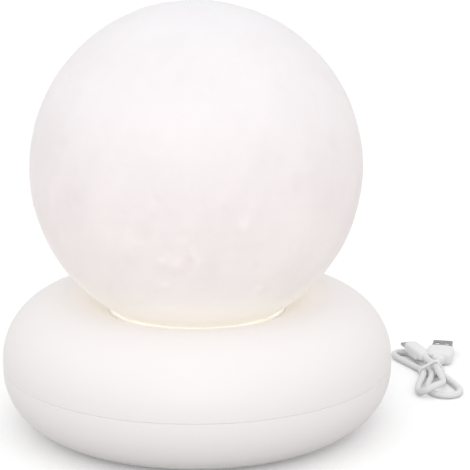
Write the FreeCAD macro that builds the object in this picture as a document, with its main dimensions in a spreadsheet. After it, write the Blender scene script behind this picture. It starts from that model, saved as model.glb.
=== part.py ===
"""Moon lamp: a lit globe twisted into a wide round base, with its charging cable beside it.

Millimetres.  +Z is up, the origin is the middle of the lamp on the surface that its feet
stand on, and the front is -Y.  The charging port and the button are at the back, at +Y.
"""
import FreeCAD, Part
import math
import os
import re
import Sketcher

Vector = FreeCAD.Vector
MODEL = FreeCAD.newDocument("moon_lamp")

# ---------------------------------------------------------------- driving dimensions

SIZES = {
    # globe and its seat
    "globe_radius": 90.0,
    "globe_wall": 2.4,
    "globe_mouth_radius": 36.0,
    "mouth_land": 2.2,
    "seat_radius": 46.0,
    "seat_lip": 2.9,
    "seat_rise": 1.1,
    "seat_ring_width": 6.5,
    "seat_bead_width": 1.1,
    "seat_bead_height": 1.0,
    "seat_bead_round": 1.0,
    "seat_gap": 0.3,
    "glue_gap": 0.1,
    # base housing
    "base_radius": 107.5,
    "seam_height": 35.4,
    "land_above": 2.8,
    "land_below": 2.4,
    "crown_arc": 34.6,
    "dish_depth": 7.75,
    "mouth_round": 0.7,
    "base_wall": 2.5,
    "seam_chamfer": 0.35,
    "tongue_height": 1.6,
    "tongue_inset": 1.3,
    "fit": 0.15,
    # feet and housing screws
    "foot_proud": 1.0,
    "foot_recess": 1.0,
    "foot_radius": 7.0,
    "foot_inset": 11.5,
    "foot_edge": 0.4,
    "screw_inset": 9.5,
    "boss_radius": 4.0,
    "boss_foot": 0.5,
    "boss_joint_height": 12.0,
    "housing_screw_radius": 1.5,
    "housing_screw_length": 20.0,
    "housing_head_radius": 2.8,
    "housing_head_height": 2.2,
    "screw_play": 0.2,
    "counterbore_radius": 3.4,
    "counterbore_depth": 6.5,
    # bayonet that holds the globe
    "throat_depth": 15.8,
    "collar_wall": 3.0,
    "collar_above": 4.0,
    "collar_flange": 1.9,
    "collar_below": 1.5,
    "rim_depth": 3.8,
    "rim_height": 3.0,
    "lug_height": 3.2,
    "lug_angle": 24.0,
    "lug_start": 45.0,
    "notch_angle": 28.0,
    "twist_angle": 30.0,
    "stop_angle": 4.0,
    "stop_play": 1.5,
    # light source
    "led_board_radius": 23.0,
    "led_board_lift": 6.0,
    "board_thickness": 1.6,
    "led_post_circle": 17.0,
    "led_post_radius": 2.8,
    "small_screw_radius": 1.25,
    "small_head_radius": 2.3,
    "small_head_height": 1.5,
    "small_screw_length": 5.5,
    "led_chip_circle": 9.5,
    "led_chip_width": 5.0,
    "led_chip_height": 0.8,
    "diffuser_radius": 30.8,
    "diffuser_skirt": 9.0,
    "diffuser_rise": 28.0,
    "diffuser_wall": 1.6,
    "diffuser_flange": 5.4,
    "diffuser_flange_height": 2.6,
    "diffuser_screw_end": 0.6,
    "diffuser_screw_hole": 2.2,
    "wire_hole_radius": 4.0,
    "connector_length": 6.0,
    "connector_width": 5.0,
    "connector_height": 4.0,
    # rear panel with the port and the button
    "pocket_depth": 6.5,
    "pocket_width": 40.0,
    "pocket_bottom": 14.5,
    "pocket_height": 16.0,
    "panel_thickness": 3.0,
    "port_offset": 9.0,
    "port_clearance": 0.4,
    "socket_width": 7.6,
    "socket_height": 2.7,
    "socket_length": 5.6,
    "socket_wall": 0.3,
    "socket_back": 1.0,
    "socket_tongue": 0.6,
    "board_tab_edge": 1.0,
    "button_offset": 9.0,
    "button_lift": 4.2,
    "button_radius": 4.2,
    "button_proud": 1.2,
    "button_flange_radius": 5.4,
    "button_flange": 1.2,
    "button_travel": 0.8,
    "button_edge": 0.6,
    "light_pipe_radius": 1.5,
    "light_pipe_lift": 2.1,
    "light_pipe_flange_radius": 1.9,
    "light_pipe_flange": 1.0,
    "light_pipe_proud": 0.3,
    "light_pipe_inside": 3.2,
    # electronics on the floor of the base
    "board_post_height": 12.5,
    "board_post_radius": 3.0,
    "board_width": 44.0,
    "board_length": 45.0,
    "board_post_offset": 17.5,
    "board_front_post": 5.0,
    "board_post_pitch": 15.0,
    "switch_width": 7.4,
    "switch_depth": 4.9,
    "switch_height": 7.2,
    "plunger_radius": 1.5,
    "plunger_inside": 1.2,
    "plunger_reach": 1.8,
    "plunger_play": 0.3,
    "charge_led_width": 3.2,
    "charge_led_depth": 2.0,
    "charge_led_top": 1.2,
    "chip_length": 6.0,
    "chip_width": 5.0,
    "chip_height": 1.2,
    "chip_pitch": 9.0,
    "chip_inset": 15.5,
    "chip_offset": 9.0,
    "coil_radius": 3.0,
    "coil_height": 3.0,
    "coil_foot": 6.4,
    "coil_foot_height": 0.8,
    "coil_offset": 10.0,
    "capacitor_length": 3.2,
    "capacitor_width": 1.6,
    "capacitor_height": 1.4,
    "capacitor_pitch": 18.0,
    "capacitor_near": 13.0,
    "capacitor_far": 32.0,
    "header_offset": 10.0,
    "header_inset": 9.0,
    "header_length": 6.0,
    "header_width": 4.6,
    "header_height": 5.0,
    "pin_pitch": 2.0,
    "cell_radius": 9.2,
    "cell_length": 65.0,
    "cell_end": 1.0,
    "cell_play": 0.3,
    "boss_gap": 1.0,
    "holder_wall": 2.0,
    "holder_floor": 1.6,
    "holder_height": 14.0,
    "holder_stand": 2.5,
    "ear_length": 11.0,
    "ear_width": 9.0,
    "tab_thickness": 0.5,
    "tab_width": 12.0,
    "tab_play": 0.4,
    "wire_radius": 0.65,
    "wire_bend": 5.0,
    "harness_bend": 2.5,
    "lead_rise": 6.0,
    "lead_side": 26.0,
    "harness_drop": 6.0,
    "harness_start": 2.0,
    # charging cable
    "hank_right": 140.0,
    "hank_back": 65.0,
    "cord_radius": 1.95,
    "tie_gap": 0.5,
    "tie_thickness": 0.8,
    "tie_width": 2.6,
    "plug_a_width": 12.0,
    "plug_a_height": 4.5,
    "plug_a_length": 13.0,
    "plug_a_wall": 0.4,
    "grip_a_width": 16.0,
    "grip_a_height": 8.0,
    "grip_a_length": 18.0,
    "grip_a_round": 2.6,
    "neck_a_radius": 3.2,
    "neck_length": 4.0,
    "grip_micro_width": 8.4,
    "grip_micro_height": 7.0,
    "grip_micro_length": 17.0,
    "grip_micro_round": 2.4,
    "neck_micro_radius": 2.7,
    "tip_width": 6.9,
    "tip_height": 1.8,
    "tip_length": 6.8,
    "tip_wall": 0.35,
    "mouth_back": 1.0,
    "window_length": 2.6,
    "window_width": 2.3,
    "window_offset": 2.9,
    "window_inset": 5.5,
    "plug_tongue_height": 1.9,
    "plug_tongue_short": 0.6,
    "plug_tongue_play": 0.1,
    "contact_width": 1.1,
    "contact_height": 0.15,
    "contact_inner": 1.0,
    "contact_outer": 3.5,
}

# Sizes and places that follow from the ones above.  Every name is spelled out once here and
# then used in the expressions that drive the pieces.
FORMULAS = {
    "foot_arc": "seam_height - land_below - foot_proud",
    "foot_flat_radius": "base_radius - foot_arc",
    "floor_top": "foot_proud + base_wall",
    "crown_radius": "base_radius - crown_arc",
    "crown_height": "seam_height + land_above + crown_arc",
    "base_mouth_radius": "seat_radius + seat_lip",
    "dish_end_radius": "base_mouth_radius + mouth_round",
    "dish_arc": "((crown_radius - dish_end_radius)^2 + dish_depth^2) / (2 * dish_depth)",
    "mouth_edge": "crown_height - dish_depth",
    "recess_outer_radius": "base_mouth_radius + base_wall",
    "recess_top": "crown_height - dish_arc"
                  " + sqrt((dish_arc - base_wall)^2 - (crown_radius - recess_outer_radius)^2)",
    "seat_height": "mouth_edge + seat_rise",
    "globe_centre": "seat_height + sqrt(globe_radius^2 - seat_radius^2)",
    "land_radius": "globe_mouth_radius + mouth_land",
    "land_height": "globe_centre - sqrt(globe_radius^2 - land_radius^2)",
    "globe_inside": "globe_radius - globe_wall",
    "ledge_top": "land_height - collar_flange - seat_gap",
    "throat_radius": "land_radius + seat_gap",
    "throat_outer_radius": "throat_radius + base_wall",
    "throat_floor": "ledge_top - throat_depth",
    "throat_underside": "throat_floor - base_wall",
    "collar_radius": "globe_mouth_radius - glue_gap",
    "collar_bore": "collar_radius - collar_wall",
    "rim_radius": "collar_radius + seat_gap + fit",
    "rim_bottom": "ledge_top - rim_depth - rim_height",
    "lug_radius": "throat_radius - seat_gap - fit",
    "lug_bottom": "rim_bottom - seat_gap - lug_height",
    "boss_circle": "foot_flat_radius - screw_inset",
    "boss_top": "crown_height - dish_arc"
                " + sqrt(dish_arc^2 - (crown_radius - boss_circle + boss_radius)^2) - base_wall / 2",
    "foot_circle": "foot_flat_radius - foot_inset",
    "counterbore_top": "foot_proud + counterbore_depth",
    "led_board_bottom": "throat_floor + led_board_lift",
    "led_board_top": "led_board_bottom + board_thickness",
    "diffuser_shoulder": "throat_floor + diffuser_skirt",
    "diffuser_top": "diffuser_shoulder + diffuser_rise",
    "dome_radius": "(diffuser_radius^2 + diffuser_rise^2) / (2 * diffuser_rise)",
    "dome_centre": "diffuser_top - dome_radius",
    "diffuser_inside": "sqrt((dome_radius - diffuser_wall)^2 - (diffuser_shoulder - dome_centre)^2)",
    "diffuser_screw_circle": "diffuser_radius - diffuser_flange / 2",
    "panel_face": "base_radius - pocket_depth",
    "panel_back": "panel_face - panel_thickness",
    "board_bottom": "floor_top + board_post_height",
    "board_top": "board_bottom + board_thickness",
    "board_rear": "button_back - button_travel - seat_gap",
    "board_front": "board_rear - board_length",
    "socket_face": "panel_face - port_clearance",
    "button_height": "board_top + button_lift",
    "button_back": "panel_back - seat_gap - button_flange",
    "switch_front": "button_back - button_travel - plunger_reach",
    "light_pipe_height": "board_top + light_pipe_lift",
    "light_pipe_start": "board_rear - light_pipe_inside",
    "holder_bottom": "floor_top + holder_stand",
    "holder_half_length": "cell_length / 2 + tab_thickness + cell_play + holder_wall",
    "holder_half_width": "cell_radius + cell_play + holder_wall",
    "cell_height": "holder_bottom + holder_floor + cell_play + cell_radius",
    "cell_forward": "boss_circle * cos(45) - boss_radius - boss_foot - boss_gap"
                    " - holder_half_width",
    "ear_centre": "holder_half_length + ear_length / 2 - holder_wall / 4",
    "tab_top": "cell_height + cell_radius + tab_thickness",
    "header_front": "board_front + header_inset",
    "header_top": "board_top + header_height",
}

SHEET = MODEL.addObject("Spreadsheet::Sheet", "sizes")
for row, (alias, number) in enumerate(SIZES.items(), start=1):
    SHEET.set(f"A{row}", alias)
    SHEET.set(f"B{row}", repr(number))
    SHEET.setAlias(f"B{row}", alias)
MODEL.recompute()


def formula(text):
    """Spell out a formula in the sheet's cells, as an expression for setExpression."""
    def spell(match):
        word = match.group(0)
        if word in FORMULAS:
            return "(" + formula(FORMULAS[word]) + ")"
        return "sizes." + word if word in SIZES else word
    return re.sub(r"[a-z][a-z_]*", spell, str(text))


def size(text):
    """The number that a formula comes to."""
    return float(SHEET.evalExpression(formula(text)))


# ---------------------------------------------------------------- building blocks

PIECES = {}


def piece(name, shape_object):
    """Name a finished sub-part."""
    shape_object.Label = name
    PIECES[name] = shape_object
    return shape_object


def bind(item, **formulas):
    """Bind properties to formulas; a double underscore stands for a dot."""
    for name, text in formulas.items():
        item.setExpression(name.replace("__", "."), formula(text))
    return item


def place(item, x="0", y="0", z="0"):
    return bind(item, Placement__Base__x=x, Placement__Base__y=y, Placement__Base__z=z)


def block(x, y, z, length, width, height):
    """A box that is centred on x and y and stands on z."""
    item = bind(MODEL.addObject("Part::Box", "block"), Length=length, Width=width, Height=height)
    return place(item, f"({x}) - ({length}) / 2", f"({y}) - ({width}) / 2", z)


TURNS = {
    "Z": FreeCAD.Rotation(),
    "Y": FreeCAD.Rotation(Vector(1, 0, 0), -90),
    "X": FreeCAD.Rotation(Vector(0, 1, 0), 90),
}


def rod(radius, height, x="0", y="0", z="0", along="Z"):
    """A round bar that starts at x, y, z."""
    item = bind(MODEL.addObject("Part::Cylinder", "rod"), Radius=radius, Height=height)
    item.Placement = FreeCAD.Placement(Vector(), TURNS[along])
    return place(item, x, y, z)


def sector(radius, height, start, angle, z):
    """A wedge of a round bar about the lamp's own axis."""
    item = bind(MODEL.addObject("Part::Cylinder", "sector"), Radius=radius, Height=height,
                Angle=angle, Placement__Rotation__Angle=start)
    return place(item, z=z)


def fuse(*items):
    item = MODEL.addObject("Part::MultiFuse", "fuse")
    item.Shapes = list(items)
    return item


def cut(base, *tools):
    item = MODEL.addObject("Part::Cut", "cut")
    item.Base = base
    item.Tool = tools[0] if len(tools) == 1 else fuse(*tools)
    return item


def common(base, tool):
    item = MODEL.addObject("Part::Common", "common")
    item.Base = base
    item.Tool = tool
    return item


def group(*items):
    """Several separate solids in one sub-part."""
    item = MODEL.addObject("Part::Compound", "group")
    item.Links = list(items)
    return item


def ring_place(circle, angle):
    """The x and y of a point on a circle about the lamp's axis, angle in degrees."""
    return f"({circle}) * cos({angle})", f"({circle}) * sin({angle})"


def arc_of(start, end, radius, side):
    """The short arc between two points; its centre is left of the way for side +1."""
    chord = end - start
    half = chord.Length / 2
    left = Vector(-chord.y, chord.x, 0).normalize()
    centre = (start + end) / 2 + left * side * math.sqrt(max(radius ** 2 - half ** 2, 0.0))
    first, last = (start, end) if side > 0 else (end, start)
    angles = [math.atan2(point.y - centre.y, point.x - centre.x) for point in (first, last)]
    return Part.ArcOfCircle(Part.Circle(centre, Vector(0, 0, 1), radius), *angles)


def outline(sketch, points):
    """Draw a closed outline and bind it.

    Each point is (x, y) where a line follows, or (x, y, radius, side) where an arc follows.
    """
    spots = [Vector(size(point[0]), size(point[1]), 0) for point in points]
    starts = []
    for index, point in enumerate(points):
        here, there = spots[index], spots[(index + 1) % len(points)]
        if len(point) == 4:
            curve = sketch.addGeometry(arc_of(here, there, size(point[2]), point[3]), False)
            starts.append((curve, 1, 2) if point[3] > 0 else (curve, 2, 1))
        else:
            line = sketch.addGeometry(Part.LineSegment(here, there), False)
            starts.append((line, 1, 2))
    for index, point in enumerate(points):
        curve, begin, end = starts[index]
        following, next_begin, _ = starts[(index + 1) % len(points)]
        sketch.addConstraint(Sketcher.Constraint("Coincident", curve, end, following, next_begin))
        for axis, kind, text in ((-2, "DistanceX", point[0]), (-1, "DistanceY", point[1])):
            if text == "0":
                sketch.addConstraint(Sketcher.Constraint("PointOnObject", curve, begin, axis))
                continue
            number = sketch.addConstraint(Sketcher.Constraint(kind, curve, begin, size(text)))
            sketch.setExpression(f"Constraints[{number}]", formula(text))
        if len(point) == 4:
            number = sketch.addConstraint(Sketcher.Constraint("Radius", curve, size(point[2])))
            sketch.setExpression(f"Constraints[{number}]", formula(point[2]))
    return sketch


def origin_plane(body, role):
    return next(item for item in body.Origin.OriginFeatures if item.Role == role)


def body_sketch(body, plane, points):
    sketch = body.newObject("Sketcher::SketchObject", "outline")
    sketch.AttachmentSupport = (origin_plane(body, plane), [""])
    sketch.MapMode = "FlatFace"
    return outline(sketch, points)


def turned_body(points):
    """A body turned about the lamp's axis from an outline of radius and height."""
    body = MODEL.addObject("PartDesign::Body", "body")
    sketch = body_sketch(body, "XZ_Plane", points)
    turned = body.newObject("PartDesign::Revolution", "turned")
    turned.Profile = sketch
    turned.ReferenceAxis = (sketch, ["V_Axis"])
    turned.Angle = 360
    MODEL.recompute()
    return body


def add_pad(body, points, bottom, height):
    """Extrude an outline of x and y upwards, as a feature of the body."""
    sketch = body_sketch(body, "XY_Plane", points)
    bind(sketch, AttachmentOffset__Base__z=bottom)
    pad = body.newObject("PartDesign::Pad", "pad")
    pad.Profile = sketch
    bind(pad, Length=height)
    MODEL.recompute()
    return pad


def pattern_about_axis(body, feature, copies):
    pattern = body.newObject("PartDesign::PolarPattern", "pattern")
    pattern.Originals = [feature]
    pattern.Axis = (origin_plane(body, "Z_Axis"), [""])
    pattern.Angle = 360
    pattern.Occurrences = copies
    body.Tip = pattern
    MODEL.recompute()
    return pattern


def turned_part(points):
    """The same as turned_body, as a plain solid for the booleans of the housing."""
    sketch = MODEL.addObject("Sketcher::SketchObject", "outline")
    sketch.Placement = FreeCAD.Placement(Vector(), FreeCAD.Rotation(Vector(1, 0, 0), 90))
    outline(sketch, points)
    turned = MODEL.addObject("Part::Revolution", "turned")
    turned.Source = sketch
    turned.Axis = Vector(0, 0, 1)
    turned.Base = Vector(0, 0, 0)
    turned.Angle = 360
    turned.Solid = True
    MODEL.recompute()
    return turned


QUARTERS = (45, 135, 225, 315)
SIDES = (0, 90, 180, 270)
THIRDS = (0, 120, 240)
BOARD_POST_ROWS = ("board_front + board_front_post",
                   "board_front + board_front_post + board_post_pitch")

# ---------------------------------------------------------------- globe

def moon_globe():
    """Blown shell, open at the bottom, where a flat land meets the collar's flange."""
    return turned_body([
        ("0", "globe_centre + globe_radius", "globe_radius", -1),
        ("land_radius", "land_height"),
        ("globe_mouth_radius", "land_height"),
        ("globe_mouth_radius", "globe_centre - sqrt(globe_inside^2 - globe_mouth_radius^2)",
         "globe_inside", 1),
        ("0", "globe_centre + globe_inside"),
    ])


def globe_collar():
    """Ring glued into the mouth of the globe, with three bayonet lugs."""
    body = turned_body([
        ("collar_bore", "lug_bottom - collar_below"),
        ("collar_radius", "lug_bottom - collar_below"),
        ("collar_radius", "land_height - collar_flange"),
        ("land_radius", "land_height - collar_flange"),
        ("land_radius", "land_height"),
        ("collar_radius", "land_height"),
        ("collar_radius", "land_height + collar_above"),
        ("collar_bore", "land_height + collar_above"),
    ])
    first = "lug_start - lug_angle / 2"
    last = "lug_start + lug_angle / 2"
    root = "collar_radius - collar_wall / 2"
    lug = add_pad(body, [
        ring_place(root, first),
        (*ring_place("lug_radius", first), "lug_radius", 1),
        ring_place("lug_radius", last),
        (*ring_place(root, last), root, -1),
    ], "lug_bottom", "lug_height")
    pattern_about_axis(body, lug, len(THIRDS))
    return body


def seat_ring():
    """Soft translucent ring that the globe sits in; its bead shows as a bright line."""
    outer = "base_mouth_radius - fit"
    inner = "base_mouth_radius - seat_ring_width"
    crest = "base_mouth_radius - seat_bead_width"
    reach = "globe_radius + seat_gap"
    return turned_body([
        (inner, "ledge_top"),
        (outer, "ledge_top"),
        (outer, "mouth_edge + seat_bead_height", "seat_bead_round", 1),
        (crest, f"globe_centre - sqrt(({reach})^2 - ({crest})^2)", reach, -1),
        (inner, f"globe_centre - sqrt(({reach})^2 - ({inner})^2)"),
    ])


# ---------------------------------------------------------------- base housing

def upper_shell():
    """Top half of the base: rolled rim, dished middle, and the cup that takes the globe."""
    wall = turned_part([
        ("base_radius - seam_chamfer", "seam_height"),
        ("base_radius", "seam_height + seam_chamfer"),
        ("base_radius", "seam_height + land_above", "crown_arc", 1),
        ("crown_radius", "crown_height", "dish_arc", 1),
        ("dish_end_radius", "mouth_edge", "mouth_round", 1),
        ("base_mouth_radius", "mouth_edge - mouth_round"),
        ("base_mouth_radius", "ledge_top"),
        ("throat_radius", "ledge_top"),
        ("throat_radius", "throat_floor"),
        ("0", "throat_floor"),
        ("0", "throat_underside"),
        ("throat_outer_radius", "throat_underside"),
        ("throat_outer_radius", "ledge_top - base_wall"),
        ("recess_outer_radius", "ledge_top - base_wall"),
        ("recess_outer_radius", "recess_top", "dish_arc - base_wall", -1),
        ("crown_radius", "crown_height - base_wall", "crown_arc - base_wall", -1),
        ("base_radius - base_wall", "seam_height + land_above"),
        ("base_radius - base_wall", "seam_height + tongue_height + fit"),
        ("base_radius - tongue_inset + fit", "seam_height + tongue_height + fit"),
        ("base_radius - tongue_inset + fit", "seam_height"),
    ])
    bosses = [rod("boss_radius", "boss_top - boss_joint_height",
                  *ring_place("boss_circle", angle), "boss_joint_height") for angle in QUARTERS]
    posts = [rod("led_post_radius", "led_board_lift + base_wall / 2",
                 *ring_place("led_post_circle", angle + 90), "throat_floor - base_wall / 2")
             for angle in THIRDS]
    keepers = [sector("throat_radius + base_wall / 2", "rim_height",
                      f"lug_start + twist_angle + notch_angle / 2 + {turn}",
                      "120 - notch_angle", "rim_bottom") for turn in THIRDS]
    stops = []
    for turn in THIRDS:
        near = f"lug_start - lug_angle / 2 - stop_play - stop_angle + {turn}"
        far = f"lug_start + lug_angle / 2 + stop_play + twist_angle + {turn}"
        for start in (near, far):
            stops.append(sector("throat_radius + base_wall / 2", "rim_height + lug_height",
                                start, "stop_angle", "rim_bottom - lug_height"))
    throat_bore = rod("rim_radius", "throat_depth", z="throat_floor")
    rim = cut(fuse(*keepers, *stops), throat_bore)
    screw_holes = [rod("housing_screw_radius", "housing_screw_length",
                       *ring_place("boss_circle", angle), "counterbore_top") for angle in QUARTERS]
    post_holes = [rod("small_screw_radius", "small_screw_length",
                      *ring_place("led_post_circle", angle + 90),
                      "led_board_top - small_screw_length") for angle in THIRDS]
    diffuser_holes = [rod("small_screw_radius", "2 * base_wall",
                          *ring_place("diffuser_screw_circle", angle + 30),
                          "throat_underside - base_wall / 2") for angle in THIRDS]
    wire_hole = rod("wire_hole_radius", "2 * base_wall", z="throat_underside - base_wall / 2")
    return cut(fuse(wall, *bosses, *posts, rim),
               *screw_holes, *post_holes, *diffuser_holes, wire_hole)


def lower_shell():
    """Bottom half of the base: floor, screw bosses, board posts and the rear panel."""
    wall = turned_part([
        ("0", "foot_proud"),
        ("foot_flat_radius", "foot_proud", "foot_arc", 1),
        ("base_radius", "seam_height - land_below"),
        ("base_radius", "seam_height - seam_chamfer"),
        ("base_radius - seam_chamfer", "seam_height"),
        ("base_radius - tongue_inset", "seam_height"),
        ("base_radius - tongue_inset", "seam_height + tongue_height"),
        ("base_radius - base_wall", "seam_height + tongue_height"),
        ("base_radius - base_wall", "seam_height - land_below", "foot_arc - base_wall", -1),
        ("foot_flat_radius", "floor_top"),
        ("0", "floor_top"),
    ])
    envelope = turned_part([
        ("0", "foot_proud"),
        ("foot_flat_radius", "foot_proud", "foot_arc", 1),
        ("base_radius", "seam_height - land_below"),
        ("0", "seam_height - land_below"),
    ])
    panel = block("0", "panel_back + base_wall * 5", "pocket_bottom - base_wall",
                  "pocket_width + 2 * base_wall", "base_wall * 10",
                  "pocket_height + 2 * base_wall")
    inside = "foot_proud + base_wall / 2"
    bosses = [rod("boss_radius + boss_foot", f"boss_joint_height - ({inside})",
                  *ring_place("boss_circle", angle), inside) for angle in QUARTERS]
    posts = [rod("board_post_radius", f"board_bottom - ({inside})",
                 f"{side} * board_post_offset", place_y, inside)
             for side in (-1, 1) for place_y in BOARD_POST_ROWS]
    stands = [rod("board_post_radius", f"holder_bottom - ({inside})",
                  f"{side} * ear_centre", "-cell_forward", inside) for side in (-1, 1)]
    pocket = block("0", "panel_face + pocket_depth", "pocket_bottom", "pocket_width",
                   "2 * pocket_depth", "pocket_height")
    port = block("-port_offset", "panel_face - panel_thickness / 2", "board_top - port_clearance",
                 "socket_width + 2 * port_clearance", "2 * panel_thickness",
                 "socket_height + 2 * port_clearance")
    button_hole = rod("button_radius + seat_gap", "2 * panel_thickness", "button_offset",
                      "panel_back - panel_thickness / 2", "button_height", "Y")
    light_hole = rod("light_pipe_radius + fit", "2 * panel_thickness", "0",
                     "panel_back - panel_thickness / 2", "light_pipe_height", "Y")
    foot_recesses = [rod("foot_radius + fit", "foot_recess + 1", *ring_place("foot_circle", angle),
                         "foot_proud - 1") for angle in SIDES]
    counterbores = [rod("counterbore_radius", "counterbore_depth + 1",
                        *ring_place("boss_circle", angle), "foot_proud - 1") for angle in QUARTERS]
    screw_holes = [rod("housing_screw_radius + screw_play", "boss_joint_height",
                       *ring_place("boss_circle", angle), "foot_proud") for angle in QUARTERS]
    post_holes = [rod("small_screw_radius", "small_screw_length",
                      f"{side} * board_post_offset", place_y, "board_top - small_screw_length")
                  for side in (-1, 1) for place_y in BOARD_POST_ROWS]
    stand_holes = [rod("small_screw_radius", "small_screw_length",
                       f"{side} * ear_centre", "-cell_forward",
                       "holder_bottom + holder_floor - small_screw_length") for side in (-1, 1)]
    return cut(fuse(wall, common(fuse(panel, *bosses, *posts, *stands), envelope)),
               pocket, port, button_hole, light_hole,
               *foot_recesses, *counterbores, *screw_holes, *post_holes, *stand_holes)


def rubber_feet():
    """Four soft feet in round recesses of the floor."""
    feet = []
    for angle in SIDES:
        x, y = ring_place("foot_circle", angle)
        pad = rod("foot_radius", "foot_proud + foot_recess - foot_edge", x, y, "foot_edge")
        tread = bind(MODEL.addObject("Part::Cone", "tread"), Radius1="foot_radius - foot_edge",
                     Radius2="foot_radius", Height="foot_edge")
        feet.append(fuse(pad, place(tread, x, y, "0")))
    return group(*feet)


def screw(x, y, top, head_radius, head_height, radius, length, upwards=1):
    """A pan head with a cross recess; the seat of its head is at top."""
    way = upwards
    head_z = top if way > 0 else f"({top}) - ({head_height})"
    shank_z = f"({top}) - ({length})" if way > 0 else top
    head = rod(head_radius, head_height, x, y, head_z)
    shank = rod(radius, length, x, y, shank_z)
    slot_depth = f"({head_height}) / 2"
    slot_z = f"({top}) + {slot_depth}" if way > 0 else f"({top}) - ({head_height})"
    slots = [block(x, y, slot_z, f"({head_radius}) * {long}", f"({head_radius}) * {wide}",
                   slot_depth) for long, wide in ((1.2, 0.3), (0.3, 1.2))]
    return cut(fuse(head, shank), *slots)


def housing_screws():
    """Four long screws that pull the two halves of the base together from below."""
    return group(*[screw(*ring_place("boss_circle", angle), "counterbore_top",
                         "housing_head_radius", "housing_head_height", "housing_screw_radius",
                         "housing_screw_length", upwards=-1) for angle in QUARTERS])


# ---------------------------------------------------------------- light source

def led_board():
    """Round aluminium-core board on the three posts of the throat."""
    plate = rod("led_board_radius", "board_thickness", z="led_board_bottom")
    holes = [rod("small_screw_radius + fit", "2 * board_thickness",
                 *ring_place("led_post_circle", angle + 90),
                 "led_board_bottom - board_thickness / 2") for angle in THIRDS]
    return cut(plate, *holes)


def led_chips():
    """One chip in the middle and six round it."""
    spots = [("0", "0")] + [ring_place("led_chip_circle", 60 * step) for step in range(6)]
    return group(*[block(x, y, "led_board_top", "led_chip_width", "led_chip_width",
                         "led_chip_height") for x, y in spots])


def led_diffuser():
    """Milky dome over the chips, screwed to the floor of the throat from below."""
    body = turned_body([
        ("diffuser_radius - diffuser_flange", "throat_floor"),
        ("diffuser_radius", "throat_floor"),
        ("diffuser_radius", "diffuser_shoulder", "dome_radius", 1),
        ("0", "diffuser_top"),
        ("0", "diffuser_top - diffuser_wall", "dome_radius - diffuser_wall", -1),
        ("diffuser_inside", "diffuser_shoulder"),
        ("diffuser_inside", "throat_floor + diffuser_flange_height"),
        ("diffuser_radius - diffuser_flange", "throat_floor + diffuser_flange_height"),
    ])
    holes = [rod("small_screw_radius", "diffuser_flange_height",
                 *ring_place("diffuser_screw_circle", angle + 30),
                 "throat_floor - (diffuser_flange_height - diffuser_screw_hole)")
             for angle in THIRDS]
    return cut(body, *holes)


def led_board_screws():
    return group(*[screw(*ring_place("led_post_circle", angle + 90), "led_board_top",
                         "small_head_radius", "small_head_height", "small_screw_radius",
                         "small_screw_length") for angle in THIRDS])


def diffuser_screws():
    return group(*[screw(*ring_place("diffuser_screw_circle", angle + 30), "throat_underside",
                         "small_head_radius", "small_head_height", "small_screw_radius",
                         "base_wall + diffuser_flange_height - diffuser_screw_end", upwards=-1)
                   for angle in THIRDS])


def led_connector():
    """Two-pin plug housing under the light board, over the wire hole's rear edge."""
    return block("0", "wire_hole_radius + connector_width / 2", "led_board_bottom - connector_height",
                 "connector_length", "connector_width", "connector_height")


# ---------------------------------------------------------------- electronics

def main_board():
    """Charging and dimming board on four posts."""
    plate = block("0", "board_front + board_length / 2", "board_bottom",
                  "board_width", "board_length", "board_thickness")
    tab_end = "panel_back - seat_gap"
    tab = block("-port_offset", f"(board_rear + {tab_end}) / 2", "board_bottom",
                "socket_width + 2 * board_tab_edge", f"{tab_end} - board_rear", "board_thickness")
    holes = [rod("small_screw_radius + fit", "2 * board_thickness",
                 f"{side} * board_post_offset", place_y, "board_bottom - board_thickness / 2")
             for side in (-1, 1) for place_y in BOARD_POST_ROWS]
    return cut(fuse(plate, tab), *holes)


def board_screws():
    return group(*[screw(f"{side} * board_post_offset", place_y, "board_top", "small_head_radius",
                         "small_head_height", "small_screw_radius", "small_screw_length")
                   for side in (-1, 1) for place_y in BOARD_POST_ROWS])


def usb_socket():
    """Micro socket at the rear edge of the board, with the tongue inside its metal shell."""
    middle = "socket_face - socket_length / 2"
    shell = block("-port_offset", middle, "board_top", "socket_width", "socket_length",
                  "socket_height")
    inner_height = "socket_height - 2 * socket_wall"
    mouth = block("-port_offset", middle + " + socket_back",
                  "board_top + socket_wall", "socket_width - 2 * socket_wall",
                  "socket_length", inner_height)
    tongue = block("-port_offset", middle + " - socket_tongue / 2",
                   f"board_top + socket_wall + ({inner_height}) / 3",
                   "socket_width / 2", "socket_length - socket_tongue", "socket_tongue")
    return fuse(cut(shell, mouth), tongue)


def tact_switch():
    """Side-acting switch body; the stem of its plunger runs in a round hole."""
    body = block("button_offset", "switch_front - switch_depth / 2", "board_top", "switch_width",
                 "switch_depth", "switch_height")
    hole_depth = "plunger_inside + button_travel + plunger_play"
    hole = rod("plunger_radius + plunger_play", f"{hole_depth} + fit", "button_offset",
               f"switch_front - ({hole_depth})", "button_height", "Y")
    return cut(body, hole)


def switch_plunger():
    """Stem of the switch, which the back of the button pushes."""
    return rod("plunger_radius", "button_back - switch_front + plunger_inside", "button_offset",
               "switch_front - plunger_inside", "button_height", "Y")


def power_button():
    """Round push button; its flange behind the panel keeps it in."""
    flange = rod("button_flange_radius", "button_flange", "button_offset", "button_back",
                 "button_height", "Y")
    stem_length = "panel_face + button_proud - button_edge - button_back"
    stem = rod("button_radius", stem_length, "button_offset", "button_back", "button_height", "Y")
    crown = bind(MODEL.addObject("Part::Cone", "crown"), Radius1="button_radius",
                 Radius2="button_radius - button_edge", Height="button_edge")
    crown.Placement = FreeCAD.Placement(Vector(), TURNS["Y"])
    place(crown, "button_offset", f"button_back + {stem_length}", "button_height")
    return fuse(flange, stem, crown)


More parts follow.
